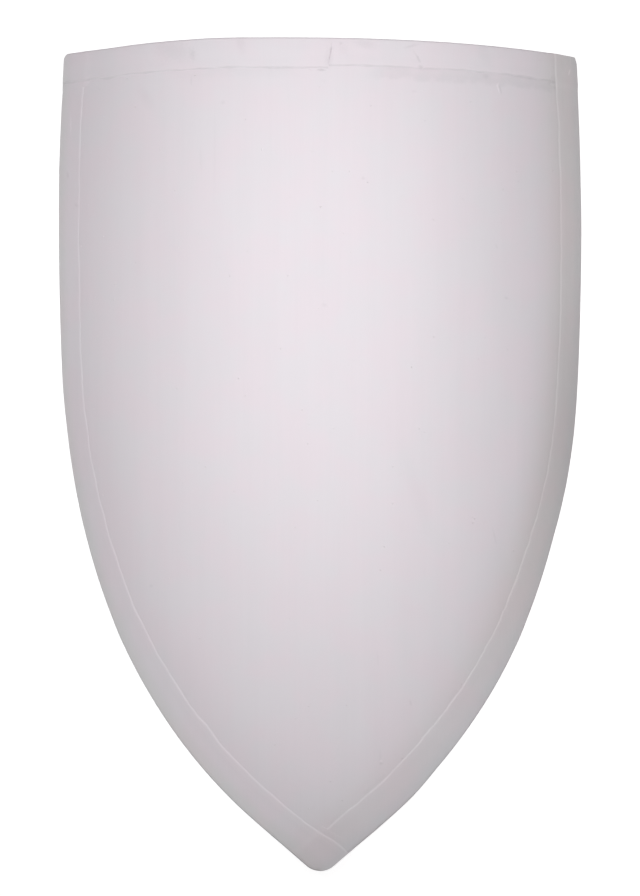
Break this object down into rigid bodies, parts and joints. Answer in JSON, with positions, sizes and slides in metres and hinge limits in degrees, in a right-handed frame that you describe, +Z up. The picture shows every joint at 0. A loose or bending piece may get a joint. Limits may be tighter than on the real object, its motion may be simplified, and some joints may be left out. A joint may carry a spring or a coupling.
{
  "type": "heater shield",
  "caption": "Bare white heater shield: a board bent to a single curve and primed, with cloth strips glued round its whole edge.",
  "frame": {"origin": "on the ground under the middle of the shield's box, as it lies face up", "axes": "+Z up out of the convex face, +Y along the length towards the straight top edge, +X across to the right seen from above with the top edge away from the viewer"},
  "size_m": [0.499, 0.7678, 0.1309],
  "materials": {
    "primed_board": "brushed white primer, satin matte",
    "primed_cloth": "woven strip under white primer, matte"
  },
  "bodies": {
    "root": {"shield_board": "primed_board", "edge_strip_left": "primed_cloth", "edge_strip_right": "primed_cloth", "edge_strip_top_left": "primed_cloth", "edge_strip_top_right": "primed_cloth"}
  },
  "joints": []
}
